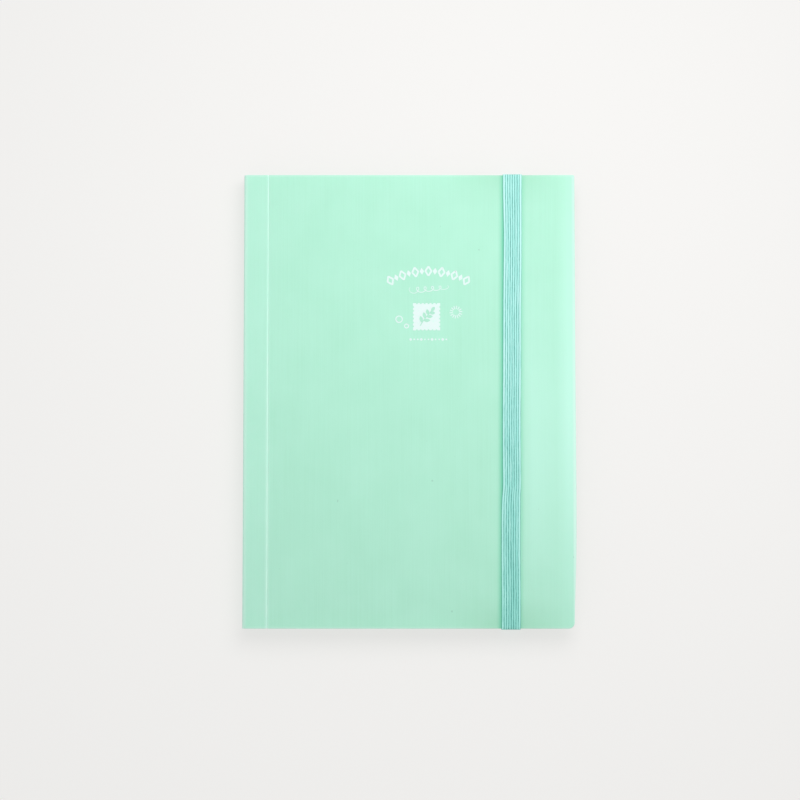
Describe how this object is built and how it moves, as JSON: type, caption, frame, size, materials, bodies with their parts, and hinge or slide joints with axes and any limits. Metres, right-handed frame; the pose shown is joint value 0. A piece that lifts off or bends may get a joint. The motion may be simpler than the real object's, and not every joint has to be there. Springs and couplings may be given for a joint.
{
  "type": "stamp album",
  "caption": "Portrait album with a scored translucent plastic cover, clear pocket leaves welded to the spine, loose mounting sheets and an elastic closure band.",
  "frame": {"origin": "middle of the underside of the closed album", "axes": "+X from the spine to the fore-edge, +Y from foot to head, +Z out through the front cover"},
  "size_m": [0.16, 0.221, 0.0149],
  "materials": {
    "cover_sheet": "translucent mint polypropylene with a fine extruded grain",
    "pocket_film": "clear film",
    "mounting_plastic": "milky white stiff film",
    "band_elastic": "flat ribbed elastic",
    "bridge_plastic": "welded plastic"
  },
  "bodies": {
    "back": {"back_cover": "cover_sheet", "back_fold_web": "cover_sheet", "band_bridge_head": "bridge_plastic", "band_bridge_foot": "bridge_plastic"},
    "spine": {"spine_panel": "cover_sheet", "front_fold_web": "cover_sheet", "binding_block": "pocket_film"},
    "hinge_strip": {"front_hinge_strip": "cover_sheet", "crease_web": "cover_sheet"},
    "front": {"front_cover": "cover_sheet"},
    "band": {"elastic_band": "band_elastic"},
    "leaf_01": {"pocket_leaf_01": "pocket_film"},
    "sheet_01": {"mounting_sheet_01": "mounting_plastic"},
    "leaf_02": {"pocket_leaf_02": "pocket_film"},
    "sheet_02": {"mounting_sheet_02": "mounting_plastic"},
    "leaf_03": {"pocket_leaf_03": "pocket_film"},
    "sheet_03": {"mounting_sheet_03": "mounting_plastic"},
    "leaf_04": {"pocket_leaf_04": "pocket_film"},
    "sheet_04": {"mounting_sheet_04": "mounting_plastic"},
    "leaf_05": {"pocket_leaf_05": "pocket_film"},
    "sheet_05": {"mounting_sheet_05": "mounting_plastic"},
    "leaf_06": {"pocket_leaf_06": "pocket_film"},
    "sheet_06": {"mounting_sheet_06": "mounting_plastic"},
    "leaf_07": {"pocket_leaf_07": "pocket_film"},
    "sheet_07": {"mounting_sheet_07": "mounting_plastic"},
    "leaf_08": {"pocket_leaf_08": "pocket_film"},
    "sheet_08": {"mounting_sheet_08": "mounting_plastic"},
    "leaf_09": {"pocket_leaf_09": "pocket_film"},
    "sheet_09": {"mounting_sheet_09": "mounting_plastic"},
    "leaf_10": {"pocket_leaf_10": "pocket_film"},
    "sheet_10": {"mounting_sheet_10": "mounting_plastic"}
  },
  "joints": [
    {"name": "spine_hinge", "type": "hinge", "parent": "back", "child": "spine", "pos_m": [-0.0796, 0, 0.0004], "axis": [0, -1, 0], "range_deg": [0, 90.5], "deforming": ["back_fold_web"]},
    {"name": "front_hinge", "type": "hinge", "parent": "spine", "child": "hinge_strip", "pos_m": [-0.0796, 0, 0.0136], "axis": [0, -1, 0], "range_deg": [0, 90], "deforming": ["front_fold_web"]},
    {"name": "crease_hinge", "type": "hinge", "parent": "hinge_strip", "child": "front", "pos_m": [-0.06825, 0, 0.014], "axis": [0, 1, 0], "range_deg": [-170, 0], "deforming": ["crease_web"]},
    {"name": "band_release", "type": "slide", "parent": "back", "child": "band", "axis": [0, 0, -1], "range_m": [0, 0.0159], "deforming": ["elastic_band"]},
    {"name": "leaf_01_turn", "type": "hinge", "parent": "spine", "child": "leaf_01", "pos_m": [-0.0756, 0, 0.00228], "axis": [0, -1, 0], "range_deg": [-91, 0]},
    {"name": "sheet_01_slide", "type": "slide", "parent": "leaf_01", "child": "sheet_01", "axis": [1, 0, 0], "range_m": [0, 0.136]},
    {"name": "leaf_02_turn", "type": "hinge", "parent": "spine", "child": "leaf_02", "pos_m": [-0.0748, 0, 0.00332], "axis": [0, -1, 0], "range_deg": [-91, 0]},
    {"name": "sheet_02_slide", "type": "slide", "parent": "leaf_02", "child": "sheet_02", "axis": [1, 0, 0], "range_m": [0, 0.136]},
    {"name": "leaf_03_turn", "type": "hinge", "parent": "spine", "child": "leaf_03", "pos_m": [-0.074, 0, 0.00438], "axis": [0, -1, 0], "range_deg": [-91, 0]},
    {"name": "sheet_03_slide", "type": "slide", "parent": "leaf_03", "child": "sheet_03", "axis": [1, 0, 0], "range_m": [0, 0.136]},
    {"name": "leaf_04_turn", "type": "hinge", "parent": "spine", "child": "leaf_04", "pos_m": [-0.0732, 0, 0.00543], "axis": [0, -1, 0], "range_deg": [-91, 0]},
    {"name": "sheet_04_slide", "type": "slide", "parent": "leaf_04", "child": "sheet_04", "axis": [1, 0, 0], "range_m": [0, 0.136]},
    {"name": "leaf_05_turn", "type": "hinge", "parent": "spine", "child": "leaf_05", "pos_m": [-0.0724, 0, 0.00647], "axis": [0, -1, 0], "range_deg": [-91, 0]},
    {"name": "sheet_05_slide", "type": "slide", "parent": "leaf_05", "child": "sheet_05", "axis": [1, 0, 0], "range_m": [0, 0.136]},
    {"name": "leaf_06_turn", "type": "hinge", "parent": "spine", "child": "leaf_06", "pos_m": [-0.0724, 0, 0.00752], "axis": [0, -1, 0], "range_deg": [0, 91]},
    {"name": "sheet_06_slide", "type": "slide", "parent": "leaf_06", "child": "sheet_06", "axis": [1, 0, 0], "range_m": [0, 0.136]},
    {"name": "leaf_07_turn", "type": "hinge", "parent": "spine", "child": "leaf_07", "pos_m": [-0.0732, 0, 0.00857], "axis": [0, -1, 0], "range_deg": [0, 91]},
    {"name": "sheet_07_slide", "type": "slide", "parent": "leaf_07", "child": "sheet_07", "axis": [1, 0, 0], "range_m": [0, 0.136]},
    {"name": "leaf_08_turn", "type": "hinge", "parent": "spine", "child": "leaf_08", "pos_m": [-0.074, 0, 0.00962], "axis": [0, -1, 0], "range_deg": [0, 91]},
    {"name": "sheet_08_slide", "type": "slide", "parent": "leaf_08", "child": "sheet_08", "axis": [1, 0, 0], "range_m": [0, 0.136]},
    {"name": "leaf_09_turn", "type": "hinge", "parent": "spine", "child": "leaf_09", "pos_m": [-0.0748, 0, 0.01068], "axis": [0, -1, 0], "range_deg": [0, 91]},
    {"name": "sheet_09_slide", "type": "slide", "parent": "leaf_09", "child": "sheet_09", "axis": [1, 0, 0], "range_m": [0, 0.136]},
    {"name": "leaf_10_turn", "type": "hinge", "parent": "spine", "child": "leaf_10", "pos_m": [-0.0756, 0, 0.01172], "axis": [0, -1, 0], "range_deg": [0, 91]},
    {"name": "sheet_10_slide", "type": "slide", "parent": "leaf_10", "child": "sheet_10", "axis": [1, 0, 0], "range_m": [0, 0.136]}
  ],
  "couplings": [
    {"joint": "spine_hinge", "follows": "front_hinge", "ratio": 1},
    {"joint": "band_release", "follows": "front_hinge", "m_per_rad": 0.01},
    {"joint": "leaf_01_turn", "follows": "front_hinge", "ratio": -1.0078},
    {"joint": "leaf_02_turn", "follows": "front_hinge", "ratio": -1.0078},
    {"joint": "leaf_03_turn", "follows": "front_hinge", "ratio": -1.0078},
    {"joint": "leaf_04_turn", "follows": "front_hinge", "ratio": -1.0078},
    {"joint": "leaf_05_turn", "follows": "front_hinge", "ratio": -1.0078},
    {"joint": "leaf_06_turn", "follows": "front_hinge", "ratio": 1.0078},
    {"joint": "leaf_07_turn", "follows": "front_hinge", "ratio": 1.0078},
    {"joint": "leaf_08_turn", "follows": "front_hinge", "ratio": 1.0078},
    {"joint": "leaf_09_turn", "follows": "front_hinge", "ratio": 1.0078},
    {"joint": "leaf_10_turn", "follows": "front_hinge", "ratio": 1.0078}
  ]
}
